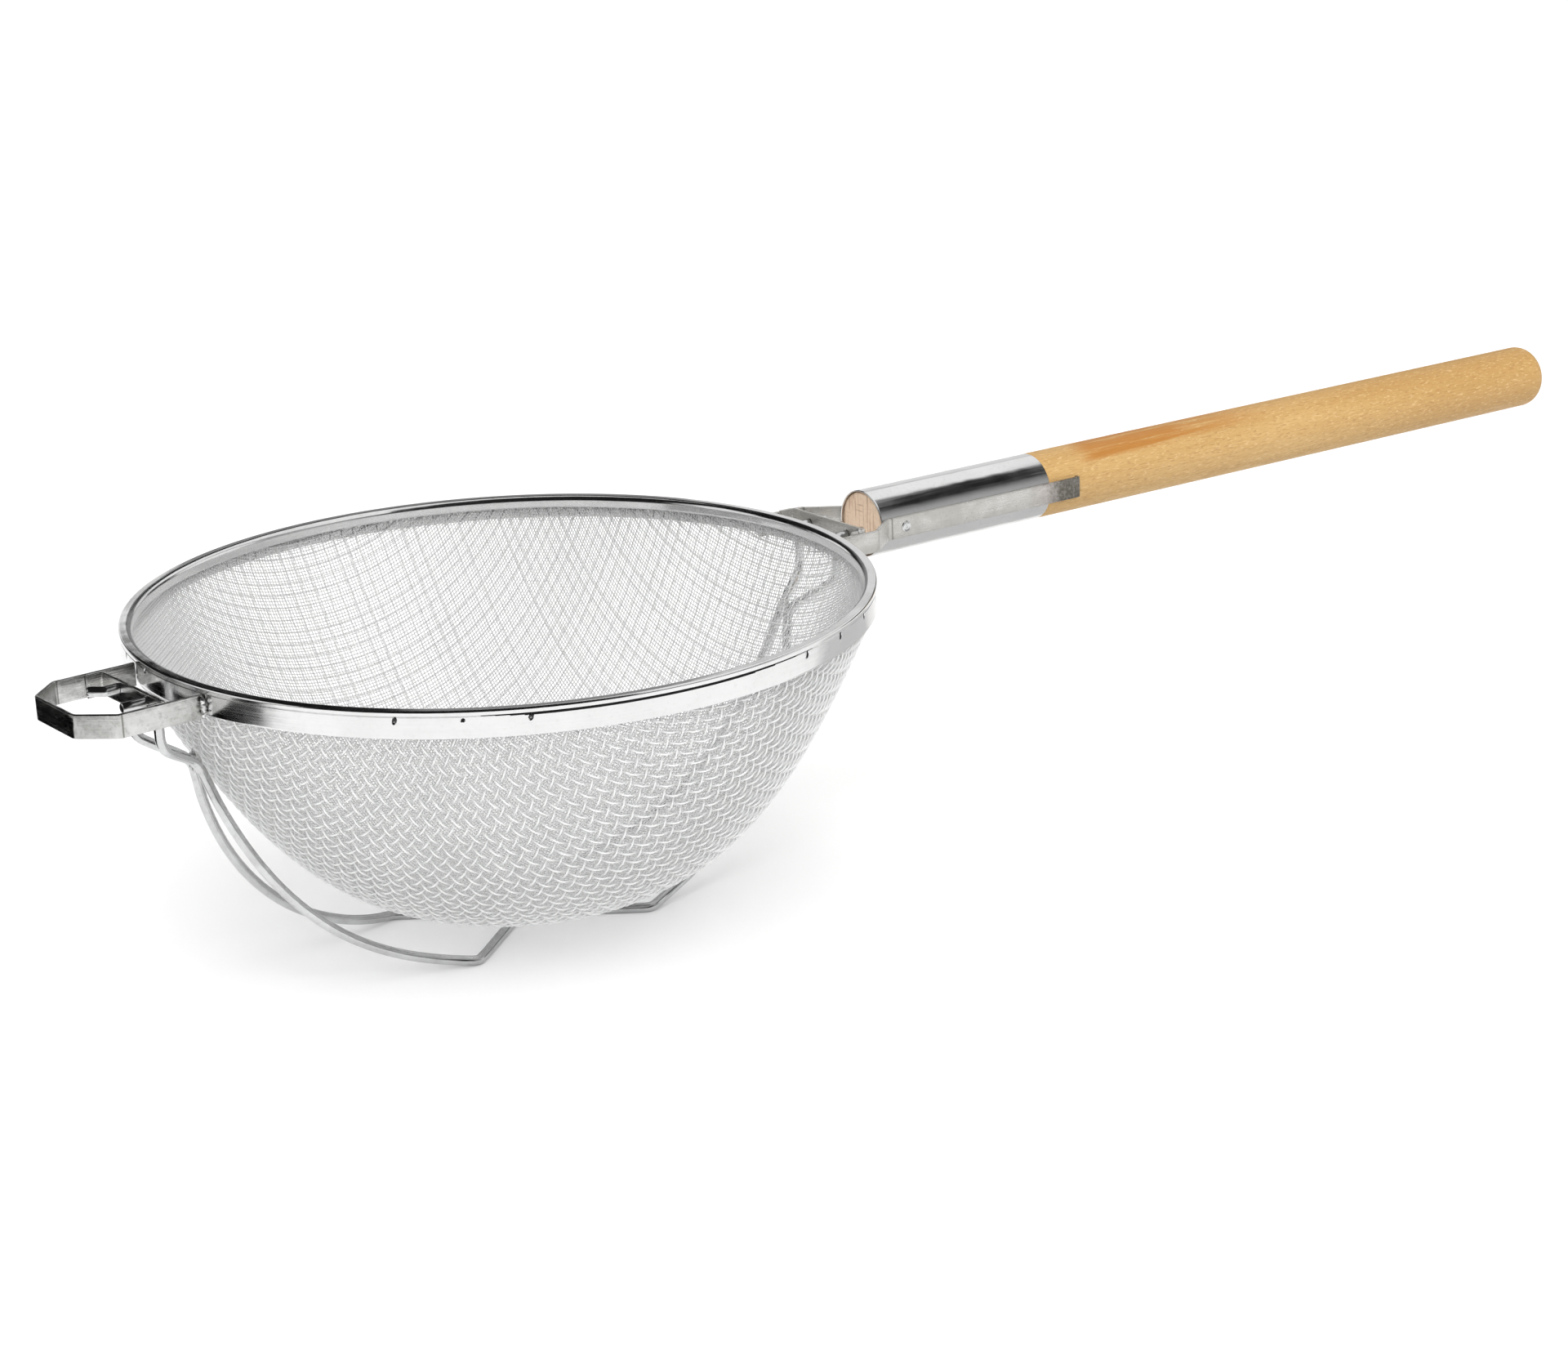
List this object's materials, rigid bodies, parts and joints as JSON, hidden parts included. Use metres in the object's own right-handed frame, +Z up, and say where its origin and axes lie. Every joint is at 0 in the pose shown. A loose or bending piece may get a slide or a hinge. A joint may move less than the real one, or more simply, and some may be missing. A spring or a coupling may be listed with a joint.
{
  "type": "mesh strainer",
  "caption": "Round bowl strainer with a fine and a coarse wire mesh in a rolled steel rim, a rest hook, a wire cradle to stand on, and a turned wooden handle in a steel ferrule",
  "frame": {"origin": "On the standing surface, straight below the centre of the bowl's rim, on the flat underside of the lower cradle wire where the two wires cross", "axes": "+X runs along the handle, away from the bowl; +Z is up; +Y is to the left when looking along the handle from the hook"},
  "size_m": [0.691, 0.26, 0.1252],
  "materials": {
    "mesh": "tinned wire, bright",
    "bright_steel": "polished tinned sheet",
    "strap_steel": "satin tinned strip",
    "wire_steel": "bright drawn wire",
    "beech": "bare sanded beech"
  },
  "bodies": {
    "root": {"outer_mesh": "mesh", "inner_mesh": "mesh", "rim_band": "bright_steel", "rim_wire": "wire_steel", "cradle_wire_lower": "wire_steel", "cradle_wire_upper": "wire_steel", "hook_strap": "strap_steel", "hook_plate": "strap_steel", "hook_weld_left": "strap_steel", "hook_weld_right": "strap_steel", "fork_arm_left": "strap_steel", "fork_arm_right": "strap_steel", "fork_plate": "strap_steel", "fork_weld_left": "strap_steel", "fork_weld_right": "strap_steel", "ferrule": "bright_steel", "handle": "beech", "fork_rivet_left": "strap_steel", "fork_rivet_right": "strap_steel"}
  },
  "joints": []
}
